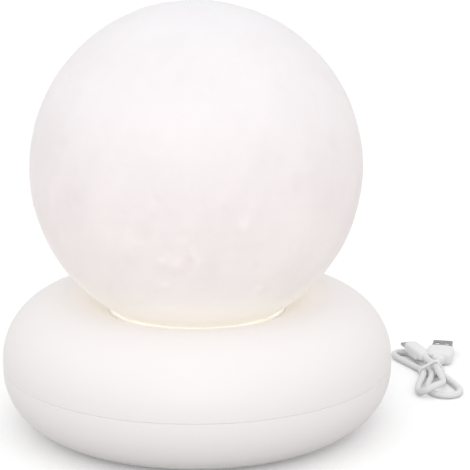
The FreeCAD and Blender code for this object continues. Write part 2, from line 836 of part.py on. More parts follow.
def charge_light_pipe():
    """Clear rod that brings the charging light to the rear panel."""
    stem = rod("light_pipe_radius", "panel_face + light_pipe_proud - light_pipe_start", "0",
               "light_pipe_start", "light_pipe_height", "Y")
    flange = rod("light_pipe_flange_radius", "light_pipe_flange", "0",
                 "panel_back - light_pipe_flange", "light_pipe_height", "Y")
    return fuse(stem, flange)


def charge_led():
    return block("0", "light_pipe_start - fit - charge_led_depth / 2", "board_top",
                 "charge_led_width", "charge_led_depth", "light_pipe_lift + charge_led_top")


def control_chips():
    """Charging chip, its power switch, and the chip that dims the light."""
    spots = (("-chip_offset", "chip_inset"), ("-chip_offset", "chip_inset + chip_pitch"),
             ("0", "chip_inset + chip_pitch"))
    return group(*[block(x, f"board_rear - ({back})", "board_top", "chip_length", "chip_width",
                         "chip_height") for x, back in spots])


def power_inductor():
    """Round wound choke on its square foot."""
    back = "board_rear - chip_inset - chip_pitch"
    coil = rod("coil_radius", "coil_height", "coil_offset", back, "board_top")
    foot = block("coil_offset", back, "board_top", "coil_foot", "coil_foot", "coil_foot_height")
    return fuse(coil, foot)


def capacitors():
    spots = (("-capacitor_pitch", "capacitor_near"), ("-capacitor_pitch", "capacitor_far"),
             ("0", "capacitor_far"), ("capacitor_pitch", "capacitor_near"))
    return group(*[block(x, f"board_rear - {back}", "board_top", "capacitor_length",
                         "capacitor_width", "capacitor_height") for x, back in spots])


def board_headers():
    """Two-pin headers for the battery leads and for the wires of the light board."""
    return group(*[block(f"{side} * header_offset", "header_front", "board_top",
                         "header_length", "header_width", "header_height") for side in (-1, 1)])


def battery_holder():
    """Open tray with an ear at each end."""
    tray = block("0", "-cell_forward", "holder_bottom", "2 * holder_half_length",
                 "2 * holder_half_width", "holder_height")
    ears = block("0", "-cell_forward", "holder_bottom", "2 * (ear_centre + ear_width / 2)",
                 "ear_width", "holder_floor")
    trough = rod("cell_radius + cell_play", "2 * (holder_half_length - holder_wall)",
                 "holder_wall - holder_half_length", "-cell_forward", "cell_height", "X")
    mouth = block("0", "-cell_forward", "cell_height", "2 * (holder_half_length - holder_wall)",
                  "2 * (cell_radius + cell_play)", "holder_height")
    ends = [block(f"{side} * (cell_length / 2 + (tab_thickness + cell_play) / 2)",
                  "-cell_forward", "holder_bottom + holder_floor", "tab_thickness + cell_play",
                  "tab_width + tab_play", "holder_height") for side in (-1, 1)]
    holes = [rod("small_screw_radius + fit", "2 * holder_floor", f"{side} * ear_centre",
                 "-cell_forward", "holder_bottom - holder_floor / 2") for side in (-1, 1)]
    return cut(fuse(tray, ears), trough, mouth, *ends, *holes)


def battery_cell():
    """Rechargeable round cell with its raised positive end."""
    can = rod("cell_radius", "cell_length - cell_end", "-cell_length / 2", "-cell_forward",
              "cell_height", "X")
    button = rod("cell_radius / 2", "cell_end", "cell_length / 2 - cell_end", "-cell_forward",
                 "cell_height", "X")
    return fuse(can, button)


def battery_tabs():
    """Sprung metal tabs at both ends of the cell, with the leads soldered on top."""
    foot = "holder_bottom + holder_floor + tab_play / 2"
    return group(*[block(f"{side} * (cell_length / 2 + tab_thickness / 2)", "-cell_forward",
                         foot, "tab_thickness", "tab_width", f"tab_top - ({foot})")
                   for side in (-1, 1)])


def holder_screws():
    return group(*[screw(f"{side} * ear_centre", "-cell_forward", "holder_bottom + holder_floor",
                         "small_head_radius", "small_head_height", "small_screw_radius",
                         "small_screw_length") for side in (-1, 1)])


# ---------------------------------------------------------------- wires and the charging cable

ARC_SHARE = 0.45


def rounded_route(points, largest=None):
    """A wire of straight runs with tangent arcs, and the radii of its arcs."""
    edges, radii = [], []
    start = points[0]
    for before, here, after in zip(points, points[1:], points[2:]):
        back, ahead = (before - here), (after - here)
        shorter = min(back.Length, ahead.Length)
        back.normalize()
        ahead.normalize()
        half_turn = (math.pi - back.getAngle(ahead)) / 2
        radius = ARC_SHARE * shorter / math.tan(half_turn)
        if largest is not None:
            radius = min(radius, largest)
        reach = radius * math.tan(half_turn)
        enter, leave = here + back * reach, here + ahead * reach
        inward = (back + ahead).normalize()
        middle = here + inward * (radius / math.cos(half_turn) - radius)
        edges.append(Part.LineSegment(start, enter).toShape())
        edges.append(Part.Arc(enter, middle, leave).toShape())
        radii.append(radius)
        start = leave
    edges.append(Part.LineSegment(start, points[-1]).toShape())
    return Part.Wire(edges), radii


def tube(points, radius, largest=None):
    """A round tube along a rounded route."""
    path, radii = rounded_route(points, largest)
    section = Part.Wire(Part.Circle(points[0], points[1] - points[0], radius).toShape())
    solid = path.makePipeShell([section], True, False)
    expected = math.pi * radius ** 2 * path.Length
    if abs(solid.Volume / expected - 1) > 0.01:
        raise ValueError(f"tube holds {solid.Volume:.0f} where {expected:.0f} was expected")
    return solid, path, radii


def shaped(name, shape):
    item = MODEL.addObject("Part::Feature", name)
    item.Shape = shape
    return item


def spot(x, y, z):
    return Vector(size(x), size(y), size(z))


def battery_lead(side):
    """One lead from a tab of the cell to a pin of the battery header."""
    tab_x = f"{side} * (cell_length / 2 + tab_thickness / 2)"
    pin_x = f"-header_offset + {side} * pin_pitch / 2"
    deck = "tab_top + lead_rise"
    route = [
        spot(tab_x, "-cell_forward", "tab_top"),
        spot(tab_x, "-cell_forward", deck),
        spot(f"{side} * lead_side", "-cell_forward / 2", deck),
        spot(pin_x, "board_front / 2", deck),
        spot(pin_x, "header_front", deck),
        spot(pin_x, "header_front", "header_top"),
    ]
    return shaped("lead", tube(route, size("wire_radius"), size("wire_bend"))[0])


def battery_lead_red():
    return battery_lead(1)


def battery_lead_black():
    return battery_lead(-1)


def led_harness():
    """Two wires from the light board, down through the floor of the throat, to the board."""
    wires = []
    above, below = "led_board_bottom - harness_start", "throat_underside - harness_drop"
    for side in (-1, 1):
        start_x = f"{side} * pin_pitch / 2"
        end_x = f"header_offset + {start_x}"
        route = [
            spot(start_x, "wire_hole_radius", above),
            spot(start_x, "0", above),
            spot(start_x, "0", below),
            spot(end_x, "header_front", below),
            spot(end_x, "header_front", "header_top"),
        ]
        wires.append(shaped("wire", tube(route, size("wire_radius"), size("harness_bend"))[0]))
    return group(*wires)


# The cord's way in its tied hank, seen from above: right and back from the tie, then height.
# FLOOR is a cord lying down, TIED one lifted by the band under it, OVER one on top of another.
FLOOR = SIZES["cord_radius"]
TIED = FLOOR + SIZES["tie_gap"] + SIZES["tie_thickness"]
PITCH = 2 * SIZES["cord_radius"] + 0.5
OVER = FLOOR + PITCH
TOP = TIED + PITCH * math.sqrt(3) / 2 + 0.2
TIE_LEFT, TIE_MIDDLE, TIE_RIGHT, TIE_TOP = -4.8, -0.2, 4.4, 2.1
CORD_ROUTE = (
    (-3.0, 14.4, 7.8),
    (-0.87, 7.42, 7.8),
    (TIE_TOP, 0.0, TOP),
    (3.4, -8.0, 5.6),
    (4.1, -16.0, 4.2),
    (3.6, -24.0, 4.8),
    (1.2, -31.0, 6.6),
    (-3.0, -35.9, OVER + 0.8),
    (-7.7, -37.3, 5.0),
    (-11.4, -34.4, 2.5),
    (-11.8, -27.6, FLOOR),
    (-9.8, -18.0, FLOOR),
    (-6.7, -8.0, 2.4),
    (TIE_LEFT, 0.0, TIED),
    (-5.7, 6.8, 2.6),
    (-8.3, 13.2, FLOOR),
    (-11.3, 19.2, FLOOR),
    (-14.4, 25.2, FLOOR),
    (-17.4, 31.2, FLOOR),
    (-19.0, 36.6, FLOOR),
    (-17.2, 41.0, FLOOR),
    (-12.6, 41.8, FLOOR),
    (-8.6, 38.2, FLOOR),
    (-6.6, 31.6, FLOOR),
    (-5.4, 24.0, FLOOR),
    (-3.4, 16.0, FLOOR),
    (-1.1, 8.0, 2.5),
    (TIE_MIDDLE, 0.0, TIED),
    (-1.2, -8.0, 2.5),
    (-3.9, -17.0, FLOOR),
    (-5.6, -25.0, FLOOR),
    (-4.9, -32.0, FLOOR),
    (-1.0, -37.4, FLOOR),
    (5.0, -39.0, FLOOR),
    (10.4, -36.4, FLOOR),
    (12.9, -30.6, FLOOR),
    (12.2, -23.0, FLOOR),
    (9.6, -14.0, FLOOR),
    (6.3, -6.0, 2.7),
    (TIE_RIGHT, 0.0, TIED),
    (3.9, 6.0, 3.4),
    (4.42, 12.03, 4.0),
    (5.6, 17.2, 4.0),
)
MICRO_LEAN = 17.0
PLUG_A_LEAN = -12.9
MICRO_END = (*CORD_ROUTE[0], MICRO_LEAN)
PLUG_A_END = (*CORD_ROUTE[-1], PLUG_A_LEAN)


def on_floor(right, back, height):
    return spot(f"hank_right + {right}", f"hank_back + {back}", str(height))


def least_gap(path, radius):
    """The least clear distance between two stretches of one tube, away from its bends."""
    step = 0.8
    points = path.discretize(Distance=step)
    apart = int(6 * radius / step) + 1
    nearest = min((points[one] - points[two]).Length
                  for one in range(len(points))
                  for two in range(one + apart, len(points)))
    return nearest - 2 * radius


def usb_cord():
    """The cord of the charging cable, folded into three loops under one tie."""
    radius = size("cord_radius")
    route = [on_floor(*point) for point in CORD_ROUTE]
    solid, path, radii = tube(route, radius)
    print(f"cord: {path.Length:.1f} mm long, least gap {least_gap(path, radius):.2f} mm")
    print("cord radii:", " ".join(f"{value:.1f}" for value in radii))
    return shaped("cord", solid)


def hull_wire(centres, radius, y):
    """The band's outline round a few cords that run along Y, from arcs and straight lines."""
    edges, corners = [], []
    count = len(centres)
    for index, (x, z) in enumerate(centres):
        after = centres[(index + 1) % count]
        run = math.hypot(after[0] - x, after[1] - z)
        out = ((after[1] - z) / run, -(after[0] - x) / run)
        corners.append(((x + out[0] * radius, z + out[1] * radius),
                        (after[0] + out[0] * radius, after[1] + out[1] * radius)))
    for index, (x, z) in enumerate(centres):
        arrive, leave = corners[index - 1][1], corners[index][0]
        middle = ((arrive[0] + leave[0]) / 2 - x, (arrive[1] + leave[1]) / 2 - z)
        reach = radius / math.hypot(*middle)
        edges.append(Part.Arc(Vector(arrive[0], y, arrive[1]),
                              Vector(x + middle[0] * reach, y, z + middle[1] * reach),
                              Vector(leave[0], y, leave[1])).toShape())
        start, end = corners[index]
        edges.append(Part.LineSegment(Vector(start[0], y, start[1]),
                                      Vector(end[0], y, end[1])).toShape())
    return Part.Wire(edges)


def cable_tie():
    """White band round the four runs of cord."""
    centres = [(size(f"hank_right + {x}"), z)
               for x, z in ((TIE_LEFT, TIED), (TIE_RIGHT, TIED), (TIE_TOP, TOP))]
    inner_radius = size("cord_radius + tie_gap")
    start = size("hank_back - tie_width / 2")
    along = Vector(0, size("tie_width"), 0)
    outer, inner = [Part.Face(hull_wire(centres, radius, start)).extrude(along)
                    for radius in (inner_radius + size("tie_thickness"), inner_radius)]
    return shaped("tie", outer.cut(inner))


def rounded_bar(y, length, width, height, radius):
    """A bar along Y with rounded long edges, centred on x = 0 and z = 0."""
    flat_width, flat_height = f"({width}) - 2 * ({radius})", f"({height}) - 2 * ({radius})"
    middle = f"({y}) + ({length}) / 2"
    wide = block("0", middle, f"-({flat_height}) / 2", width, length, flat_height)
    tall = block("0", middle, f"-({height}) / 2", flat_width, length, height)
    corners = [rod(radius, length, f"{side} * ({flat_width}) / 2", y,
                   f"{up} * ({flat_height}) / 2", "Y") for side in (-1, 1) for up in (-1, 1)]
    return fuse(wide, tall, *corners)


def seated(item, right, back, height, lean):
    """Put a piece that was made along Y where it lies on the cable."""
    item.Placement = FreeCAD.Placement(Vector(), FreeCAD.Rotation(Vector(0, 0, 1), lean))
    return place(item, f"hank_right + {right}", f"hank_back + {back}", str(height))


def cone_along(y, length, start_radius, end_radius):
    item = bind(MODEL.addObject("Part::Cone", "cone"), Radius1=start_radius, Radius2=end_radius,
                Height=length)
    item.Placement = FreeCAD.Placement(Vector(), TURNS["Y"])
    return place(item, "0", y, "0")


def micro_usb_grip():
    """Moulded grip of the small plug, with its short stepped neck."""
    grip = rounded_bar("neck_length", "grip_micro_length", "grip_micro_width",
                       "grip_micro_height", "grip_micro_round")
    neck = cone_along("0", "neck_length + 0.5", "neck_micro_radius", "neck_micro_radius + 0.3")
    return seated(fuse(grip, neck), *MICRO_END)


def micro_usb_tip():
    """Flat metal tip of the small plug."""
    start = "neck_length + grip_micro_length"
    shell = rounded_bar(start, "tip_length", "tip_width", "tip_height", "tip_height / 3")
    mouth = block("0", f"{start} + tip_length / 2 + mouth_back", "tip_wall - tip_height / 2",
                  "tip_width - 2 * tip_wall", "tip_length", "tip_height - 2 * tip_wall")
    return seated(cut(shell, mouth), *MICRO_END)


def usb_a_grip():
    """Moulded grip of the large plug, with its neck."""
    grip = rounded_bar("neck_length", "grip_a_length", "grip_a_width", "grip_a_height",
                       "grip_a_round")
    neck = cone_along("0", "neck_length + 0.5", "neck_a_radius", "neck_a_radius + 0.2")
    return seated(fuse(grip, neck), *PLUG_A_END)


def usb_a_shell():
    """Folded metal shell of the large plug, with the two square windows in each face."""
    start = "neck_length + grip_a_length"
    shell = rounded_bar(start, "plug_a_length", "plug_a_width", "plug_a_height",
                        "1.25 * plug_a_wall")
    mouth = block("0", f"{start} + plug_a_length / 2 + mouth_back", "plug_a_wall - plug_a_height / 2",
                  "plug_a_width - 2 * plug_a_wall", "plug_a_length",
                  "plug_a_height - 2 * plug_a_wall")
    windows = [block(f"{side} * window_offset", f"{start} + window_inset + window_length / 2",
                     "-plug_a_height", "window_width", "window_length", "2 * plug_a_height")
               for side in (-1, 1)]
    return seated(cut(shell, mouth, *windows), *PLUG_A_END)


def usb_a_tongue():
    """Plastic tongue that carries the four contacts of the large plug."""
    start = "neck_length + grip_a_length + mouth_back"
    length = "plug_a_length - mouth_back - plug_tongue_short"
    item = block("0", f"{start} + ({length}) / 2", "plug_a_wall - plug_a_height / 2",
                 "plug_a_width - 2 * plug_a_wall - 2 * plug_tongue_play", length,
                 "plug_tongue_height")
    return seated(group(item), *PLUG_A_END)


def usb_a_contacts():
    """Four gold-plated strips on the tongue."""
    start = "neck_length + grip_a_length + mouth_back"
    length = "plug_a_length - 2 * mouth_back - plug_tongue_short"
    strips = [block(x, f"{start} + ({length}) / 2",
                    "plug_a_wall - plug_a_height / 2 + plug_tongue_height",
                    "contact_width", length, "contact_height")
              for x in ("-contact_outer", "-contact_inner", "contact_inner", "contact_outer")]
    return seated(group(*strips), *PLUG_A_END)


# ---------------------------------------------------------------- assembly

MAKERS = (
    moon_globe, globe_collar, seat_ring, upper_shell, lower_shell, rubber_feet, housing_screws,
    led_board, led_chips, led_diffuser, led_board_screws, diffuser_screws, led_connector,
    main_board, board_screws, usb_socket, tact_switch, switch_plunger, power_button,
    charge_light_pipe, charge_led, control_chips, power_inductor, capacitors, board_headers,
    battery_holder, battery_cell, battery_tabs, holder_screws, battery_lead_red,
    battery_lead_black, led_harness, usb_cord, cable_tie, micro_usb_grip, micro_usb_tip,
    usb_a_grip, usb_a_shell, usb_a_tongue, usb_a_contacts,
)
for maker in MAKERS:
    piece(maker.__name__, maker())
MODEL.recompute()

broken = [item.Name for item in MODEL.Objects
          if "Invalid" in item.State or "Error" in item.State]
for name, item in PIECES.items():
    if item.Shape.isNull() or not item.Shape.isValid() or not item.Shape.Solids:
        broken.append(name)
if broken:
    raise RuntimeError("these objects failed: " + ", ".join(broken))

os.makedirs("parts", exist_ok=True)
for name, item in PIECES.items():
    item.Shape.exportStep(f"parts/{name}.step")
    print(f"{name}: {len(item.Shape.Solids)} solid(s), {item.Shape.Volume:.0f} mm3")
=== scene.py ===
"""Looks of the moon lamp: a milky globe in a wide white base, with its tied charging cable.

The scene is in metres, in the frame of the construction model.  The lamp stands on the floor
at z = 0 and its front is -Y.  Camera and lights are given in metres, and each piece in mm.
"""
import math

import bmesh
import bpy
import numpy as np
from mathutils import Matrix, Vector


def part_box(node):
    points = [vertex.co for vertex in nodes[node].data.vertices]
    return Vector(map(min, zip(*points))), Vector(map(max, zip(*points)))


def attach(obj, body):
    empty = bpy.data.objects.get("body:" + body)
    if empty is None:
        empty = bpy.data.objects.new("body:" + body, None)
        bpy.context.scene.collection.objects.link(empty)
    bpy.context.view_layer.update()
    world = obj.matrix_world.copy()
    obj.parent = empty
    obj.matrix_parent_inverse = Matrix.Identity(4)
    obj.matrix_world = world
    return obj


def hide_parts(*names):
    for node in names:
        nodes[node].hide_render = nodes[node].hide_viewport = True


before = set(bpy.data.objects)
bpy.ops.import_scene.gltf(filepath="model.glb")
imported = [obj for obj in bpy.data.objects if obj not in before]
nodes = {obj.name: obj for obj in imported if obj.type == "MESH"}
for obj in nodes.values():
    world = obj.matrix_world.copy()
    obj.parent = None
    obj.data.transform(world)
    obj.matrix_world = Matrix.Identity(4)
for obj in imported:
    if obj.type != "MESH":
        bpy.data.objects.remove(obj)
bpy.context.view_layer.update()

# ------------------------------------------------------------------ camera
# A long lens from a metre away, looking down on the lamp a little.  It aims slightly to the
# right of the lamp, so that the cable is in the picture too.

CAMERA_DISTANCE = 1.0
CAMERA_ELEVATION = math.radians(14.35)
FOCAL_PIXELS = 1829
PICTURE_PIXELS = 470
SENSOR_WIDTH = 36.0
LAMP_MIDDLE = Vector((0, 0, 0.110))
AIM_RIGHT = 0.0209
AIM_DOWN = 0.0047

camera_data = bpy.data.cameras.new("camera")
camera_data.sensor_width = SENSOR_WIDTH
camera_data.lens = FOCAL_PIXELS / PICTURE_PIXELS * SENSOR_WIDTH
camera = bpy.data.objects.new("camera", camera_data)
bpy.context.scene.collection.objects.link(camera)
bpy.context.scene.camera = camera
away = Vector((0, -math.cos(CAMERA_ELEVATION), math.sin(CAMERA_ELEVATION)))
camera.location = LAMP_MIDDLE + away * CAMERA_DISTANCE
aim = LAMP_MIDDLE + Vector((AIM_RIGHT, 0, -AIM_DOWN))
camera.rotation_euler = (aim - camera.location).to_track_quat("-Z", "Y").to_euler()

# ------------------------------------------------------------------ light tent and floor
# White cloth all round, a large soft lamp overhead and a smaller one in front, over a white
# sweep.  The sweep and the cloth show as plain white; the sweep keeps the object's shadow.


def linear(code):
    """A hex colour as linear red, green, blue and alpha."""
    parts = [int(code[place:place + 2], 16) / 255 for place in (1, 3, 5)]
    return (*[p / 12.92 if p <= 0.04045 else ((p + 0.055) / 1.055) ** 2.4 for p in parts], 1.0)


def add(material, kind, inputs=None, **settings):
    """Add a node to a material or world.

    An input, by name or place, is a number, a colour or a (node, output) link.
    """
    tree = material.node_tree
    node = tree.nodes.new(kind)
    for name, value in settings.items():
        setattr(node, name, value)
    for name, value in (inputs or {}).items():
        if isinstance(value, tuple) and isinstance(value[0], bpy.types.Node):
            tree.links.new(value[0].outputs[value[1]], node.inputs[name])
        else:
            node.inputs[name].default_value = value
    return node


def blank(name):
    """An empty node material."""
    material = bpy.data.materials.new(name)
    material.use_nodes = True
    material.node_tree.nodes.clear()
    return material


def made(name, shape, smooth=True):
    """An object from a finished bmesh."""
    for face in shape.faces:
        face.smooth = smooth
    mesh = bpy.data.meshes.new(name)
    shape.to_mesh(mesh)
    shape.free()
    item = bpy.data.objects.new(name, mesh)
    bpy.context.scene.collection.objects.link(item)
    return item


TENT_STRENGTH = 0.88
tent = bpy.data.worlds.new("light_tent")
bpy.context.scene.world = tent
tent.use_nodes = True
tent.node_tree.nodes.clear()
rays = add(tent, "ShaderNodeLightPath")
seen = add(tent, "ShaderNodeMath", {0: (rays, "Is Camera Ray"), 1: (rays, "Is Transmission Ray")},
           operation="MAXIMUM")
level = add(tent, "ShaderNodeMix", {0: (seen, 0), 2: TENT_STRENGTH, 3: 1.0})
cloth = add(tent, "ShaderNodeBackground", {"Color": linear("#FFFFFF"), "Strength": (level, 0)})
add(tent, "ShaderNodeOutputWorld", {"Surface": (cloth, 0)})

# Place, width and watts of each round lamp.
SOFT_LAMPS = {
    "overhead_lamp": ((0.0, -0.35, 2.2), 1.6, 1.2),
    "front_lamp": ((-0.05, -2.2, 0.9), 1.2, 10.2),
}
for lamp_name, (place, width, power) in SOFT_LAMPS.items():
    lamp_data = bpy.data.lights.new(lamp_name, "AREA")
    lamp_data.shape = "DISK"
    lamp_data.size = width
    lamp_data.energy = power
    lamp = bpy.data.objects.new(lamp_name, lamp_data)
    bpy.context.scene.collection.objects.link(lamp)
    lamp.location = place
    lamp.rotation_euler = (LAMP_MIDDLE - Vector(place)).to_track_quat("-Z", "Y").to_euler()

# Coated paper: the camera and mirrors see it white, lifted by a little glow, and the object
# gets the light of a greyer one from below, so that its underside keeps its shade.
SWEEP_RADIUS = 12.0
SWEEP_GREY = "#C4C4C4"
SWEEP_LIFT = 0.13
sweep_shape = bmesh.new()
bmesh.ops.create_circle(sweep_shape, cap_ends=True, radius=SWEEP_RADIUS, segments=64)
sweep = made("white_sweep", sweep_shape, smooth=False)
sweep_paper = blank("white_paper")
rays = add(sweep_paper, "ShaderNodeLightPath")
seen = add(sweep_paper, "ShaderNodeMath", {0: (rays, "Is Camera Ray"), 1: (rays, "Is Glossy Ray")},
           operation="MAXIMUM")
tone = add(sweep_paper, "ShaderNodeMix",
           {0: (seen, 0), 6: linear(SWEEP_GREY), 7: linear("#FFFFFF")}, data_type="RGBA")
matt = add(sweep_paper, "ShaderNodeBsdfDiffuse", {"Color": (tone, 2)})
lift = add(sweep_paper, "ShaderNodeMath", {0: (seen, 0), 1: SWEEP_LIFT}, operation="MULTIPLY")
glow = add(sweep_paper, "ShaderNodeEmission", {"Strength": (lift, 0)})
both = add(sweep_paper, "ShaderNodeAddShader", {0: (matt, 0), 1: (glow, 0)})
add(sweep_paper, "ShaderNodeOutputMaterial", {"Surface": (both, 0)})
sweep.data.materials.append(sweep_paper)

# ------------------------------------------------------------------ cord of the charging cable
# Extruded soft plastic jacket, 3.9 mm thick, folded into three loops under one band.  It lies
# on the floor; the band and the crossings lift it here and there.

MM = 0.001
HANK = Vector((140.0, 65.0, 0.0))
CORD_RADIUS = 1.95
CORD_GAP = 0.5
BAND_GAP = 0.5
BAND_THICKNESS = 0.8
STACK_GAP = 0.2
# Heights of the cord's middle: lying down, lifted by the band under it, over another run, and
# lying in the valley between two tied runs.
FLOOR = CORD_RADIUS
TIED = FLOOR + BAND_GAP + BAND_THICKNESS
PITCH = 2 * CORD_RADIUS + CORD_GAP
OVER = FLOOR + PITCH
TOP = TIED + PITCH * math.sqrt(3) / 2 + STACK_GAP
TIE_LEFT, TIE_MIDDLE, TIE_RIGHT, TIE_TOP = -4.8, -0.2, 4.4, 2.1
# From the small plug to the large one: right and back from the tie, then height.
CORD_ROUTE = (
    (-3.0, 14.4, 7.8),
    (-0.87, 7.42, 7.8),
    (TIE_TOP, 0.0, TOP),
    (3.4, -8.0, 5.6),
    (4.1, -16.0, 4.2),
    (3.6, -24.0, 4.8),
    (1.2, -31.0, 6.6),
    (-3.0, -35.9, OVER + 0.8),
    (-7.7, -37.3, 5.0),
    (-11.4, -34.4, 2.5),
    (-11.8, -27.6, FLOOR),
    (-9.8, -18.0, FLOOR),
    (-6.7, -8.0, 2.4),
    (TIE_LEFT, 0.0, TIED),
    (-5.7, 6.8, 2.6),
    (-8.3, 13.2, FLOOR),
    (-11.3, 19.2, FLOOR),
    (-14.4, 25.2, FLOOR),
    (-17.4, 31.2, FLOOR),
    (-19.0, 36.6, FLOOR),
    (-17.2, 41.0, FLOOR),
    (-12.6, 41.8, FLOOR),
    (-8.6, 38.2, FLOOR),
    (-6.6, 31.6, FLOOR),
    (-5.4, 24.0, FLOOR),
    (-3.4, 16.0, FLOOR),
    (-1.1, 8.0, 2.5),
    (TIE_MIDDLE, 0.0, TIED),
    (-1.2, -8.0, 2.5),
    (-3.9, -17.0, FLOOR),
    (-5.6, -25.0, FLOOR),
    (-4.9, -32.0, FLOOR),
    (-1.0, -37.4, FLOOR),
    (5.0, -39.0, FLOOR),
    (10.4, -36.4, FLOOR),
    (12.9, -30.6, FLOOR),
    (12.2, -23.0, FLOOR),
    (9.6, -14.0, FLOOR),
    (6.3, -6.0, 2.7),
    (TIE_RIGHT, 0.0, TIED),
    (3.9, 6.0, 3.4),
    (4.42, 12.03, 4.0),
    (5.6, 17.2, 4.0),
)
# Noise keeps mostly between these two values.  The clouding of a skin is that many grains wide.
NOISE_LOW, NOISE_HIGH = 0.3, 0.7
CLOUD_GRAINS = 30
PLASTIC_SHINE_SPREAD = 0.08


def plastic(name, colour, roughness, grain, depth, shade=0.97, **shader):
    """A moulded skin: fine tooling texture of grain and depth in mm, and a faint clouding."""
    material = blank(name)
    spot = add(material, "ShaderNodeTexCoord")
    texture = add(material, "ShaderNodeTexNoise",
                  {"Vector": (spot, "Object"), "Scale": 1 / (grain * MM), "Detail": 3.0})
    cloud = add(material, "ShaderNodeTexNoise",
                {"Vector": (spot, "Object"), "Scale": 1 / (CLOUD_GRAINS * grain * MM),
                 "Detail": 2.0})
    bump = add(material, "ShaderNodeBump", {"Height": (texture, "Fac"), "Strength": 1.0,
                                            "Distance": depth * MM})
    darker = (*[part * shade for part in linear(colour)[:3]], 1.0)
    clouded = add(material, "ShaderNodeMix", {0: (cloud, "Fac"), 6: darker, 7: linear(colour)},
                  data_type="RGBA")
    shine = add(material, "ShaderNodeMapRange",
                {"Value": (cloud, "Fac"), "From Min": NOISE_LOW, "From Max": NOISE_HIGH,
                 "To Min": roughness * (1 - PLASTIC_SHINE_SPREAD),
                 "To Max": roughness * (1 + PLASTIC_SHINE_SPREAD)})
    surface = add(material, "ShaderNodeBsdfPrincipled",
                  {"Base Color": (clouded, 2), "Roughness": (shine, "Result"),
                   "Normal": (bump, "Normal"), **shader})
    add(material, "ShaderNodeOutputMaterial", {"Surface": (surface, 0)})
    return material


cord_curve = bpy.data.curves.new("cord_line", "CURVE")
cord_curve.dimensions = "3D"
line = cord_curve.splines.new("NURBS")
line.points.add(len(CORD_ROUTE) - 1)
for point, place in zip(line.points, CORD_ROUTE):
    point.co = (*((HANK + Vector(place)) * MM), 1.0)
line.order_u = 3
line.use_endpoint_u = True
cord_curve.resolution_u = 10
cord_curve.bevel_depth = CORD_RADIUS * MM
cord_curve.bevel_resolution = 6
cord_curve.use_fill_caps = True
cord = bpy.data.objects.new("cord_line", cord_curve)
bpy.context.scene.collection.objects.link(cord)
# Soft extruded plastic: a satin, slightly grey white with no marks of a mould.
cord_curve.materials.append(plastic("extruded_soft_jacket", "#F0F0F1", 0.42, 0.6, 0.02))
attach(cord, "base")
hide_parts("usb_cord")

# ------------------------------------------------------------------ plug grips
# Soft plastic moulded over the plugs and the cord's ends, each with a stepped collar where the
# cord enters.  Sections along the plug are (distance, half width, half height, squareness).

MICRO_LEAN = math.radians(17.0)
USB_A_LEAN = math.radians(-12.9)
MICRO_SECTIONS = (
    (0.0, 2.5, 2.4, 2.6),
    (0.4, 2.9, 2.7, 2.8),
    (3.6, 3.2, 2.9, 3.0),
    (4.0, 3.3, 3.0, 3.2),
    (4.15, 3.8, 3.25, 4.0),
    (4.8, 4.15, 3.45, 4.6),
    (8.0, 4.2, 3.5, 5.0),
    (18.0, 4.2, 3.5, 5.0),
    (20.2, 4.1, 3.42, 4.6),
    (20.8, 3.85, 3.2, 4.2),
    (21.0, 3.3, 2.7, 4.0),
)
USB_A_SECTIONS = (
    (0.0, 2.9, 2.5, 2.6),
    (0.4, 3.4, 2.8, 2.8),
    (3.5, 4.0, 3.0, 3.0),
    (4.0, 4.1, 3.05, 3.0),
    (4.1, 6.6, 3.4, 3.4),
    (4.8, 7.5, 3.8, 3.6),
    (6.5, 7.9, 3.95, 3.8),
    (10.0, 8.0, 4.0, 4.0),
    (18.0, 8.0, 4.0, 4.0),
    (20.6, 7.9, 3.9, 3.9),
    (21.6, 7.5, 3.6, 3.7),
    (22.0, 6.9, 3.1, 3.6),
)


def lofted(sections, segments=64):
    """A closed skin along Y through rounded sections."""
    shape = bmesh.new()
    turn = shape.verts.layers.float.new("turn")
    ring = bmesh.ops.create_circle(shape, cap_ends=False, radius=1.0, segments=segments)["verts"]
    for vertex in ring:
        vertex[turn] = math.atan2(vertex.co.y, vertex.co.x)
    edges = list(shape.edges)
    bmesh.ops.contextual_create(shape, geom=edges)
    for index, (along, half_width, half_height, squareness) in enumerate(sections):
        if index:
            grown = bmesh.ops.extrude_edge_only(shape, edges=edges)["geom"]
            edges = [item for item in grown if isinstance(item, bmesh.types.BMEdge)]
        power = 2 / squareness
        for vertex in {vertex for edge in edges for vertex in edge.verts}:
            side, up = math.cos(vertex[turn]), math.sin(vertex[turn])
            vertex.co = Vector((math.copysign(abs(side) ** power, side) * half_width, along,
                                math.copysign(abs(up) ** power, up) * half_height))
    bmesh.ops.contextual_create(shape, geom=edges)
    bmesh.ops.recalc_face_normals(shape, faces=shape.faces)
    return shape


def seat_on_cable(shape, end, lean):
    """Put a shape that was made along Y from the origin where a plug lies on the cable."""
    place = Matrix.Translation((HANK + Vector(end)) * MM) @ Matrix.Rotation(lean, 4, "Z")
    bmesh.ops.transform(shape, matrix=place @ Matrix.Scale(MM, 4), verts=shape.verts)
    return shape


# The jacket's soft plastic, moulded: a little whiter and smoother, so its edges catch light.
overmould = plastic("overmoulded_soft_plastic", "#F5F5F6", 0.38, 0.8, 0.012)
for grip_name, node_name, sections, end, lean in (
        ("micro_grip_skin", "micro_usb_grip", MICRO_SECTIONS, CORD_ROUTE[0], MICRO_LEAN),
        ("usb_a_grip_skin", "usb_a_grip", USB_A_SECTIONS, CORD_ROUTE[-1], USB_A_LEAN)):
    grip = made(grip_name, seat_on_cable(lofted(sections), end, lean))
    grip.data.materials.append(overmould)
    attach(grip, "base")
    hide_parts(node_name)

# ------------------------------------------------------------------ plug metal
# Folded stainless shells with a brushed face, a white tongue and four gilt strips in the large
# plug.  The brush marks run from side to side, 0.25 mm apart, coarser than real so that they show.

